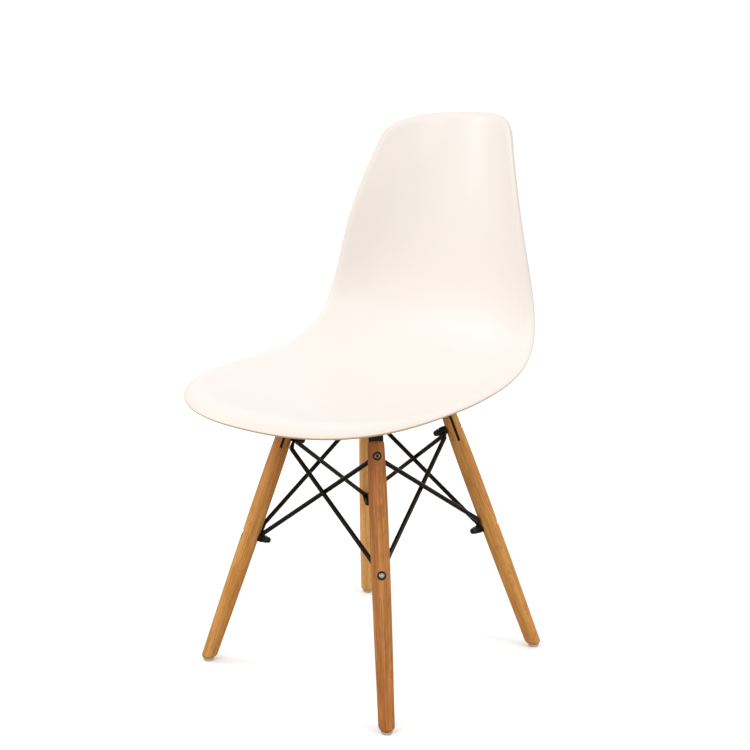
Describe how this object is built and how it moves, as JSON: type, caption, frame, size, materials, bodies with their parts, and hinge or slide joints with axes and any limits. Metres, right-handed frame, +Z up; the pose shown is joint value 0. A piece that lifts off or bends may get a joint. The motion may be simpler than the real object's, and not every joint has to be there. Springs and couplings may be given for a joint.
{
  "type": "shell chair",
  "caption": "Moulded plastic shell chair: one-piece seat and back on splayed round wooden legs with crossed wire braces and a bolted steel frame under the seat.",
  "frame": {"origin": "on the floor, under the middle of the chair's bounding box", "axes": "+Z up, the sitter faces -Y, +X is the sitter's left"},
  "size_m": [0.453, 0.5004, 0.8188],
  "materials": {
    "shell_plastic": "warm white moulded polypropylene, satin, fine texture",
    "beech": "clear lacquered golden beech, fine flecks along the grain",
    "black_steel": "black powder coat, satin",
    "black_wire": "black powder coat on drawn wire, satin",
    "bronzed_steel": "dark nickel plating",
    "glide_plastic": "translucent grey nylon",
    "insert_brass": "plain turned brass",
    "spacer_rubber": "black rubber",
    "zinc_steel": "zinc plated steel"
  },
  "bodies": {
    "root": {"seat_shell": "shell_plastic", "frame_hub": "black_steel", "frame_arm_front_left": "black_steel", "frame_arm_rear_left": "black_steel", "frame_arm_rear_right": "black_steel", "frame_arm_front_right": "black_steel", "leg_front_left": "beech", "leg_rear_left": "beech", "leg_rear_right": "beech", "leg_front_right": "beech", "glide_front_left": "glide_plastic", "glide_rear_left": "glide_plastic", "glide_rear_right": "glide_plastic", "glide_front_right": "glide_plastic", "brace_front_left_to_rear_left": "black_wire", "brace_rear_left_to_front_left": "black_wire", "brace_rear_left_to_rear_right": "black_wire", "brace_rear_right_to_rear_left": "black_wire", "brace_rear_right_to_front_right": "black_wire", "brace_front_right_to_rear_right": "black_wire", "brace_front_right_to_front_left": "black_wire", "brace_front_left_to_front_right": "black_wire", "leg_bolts_upper": "bronzed_steel", "wood_washers_upper": "black_steel", "nut_washers_upper": "black_steel", "cap_nuts_upper": "black_steel", "leg_bolts_lower": "bronzed_steel", "wood_washers_lower": "black_steel", "nut_washers_lower": "black_steel", "cap_nuts_lower": "black_steel", "shell_inserts": "insert_brass", "seat_spacers": "spacer_rubber", "seat_bolt_washers": "zinc_steel", "seat_bolts": "zinc_steel", "glide_nails": "zinc_steel"}
  },
  "joints": []
}
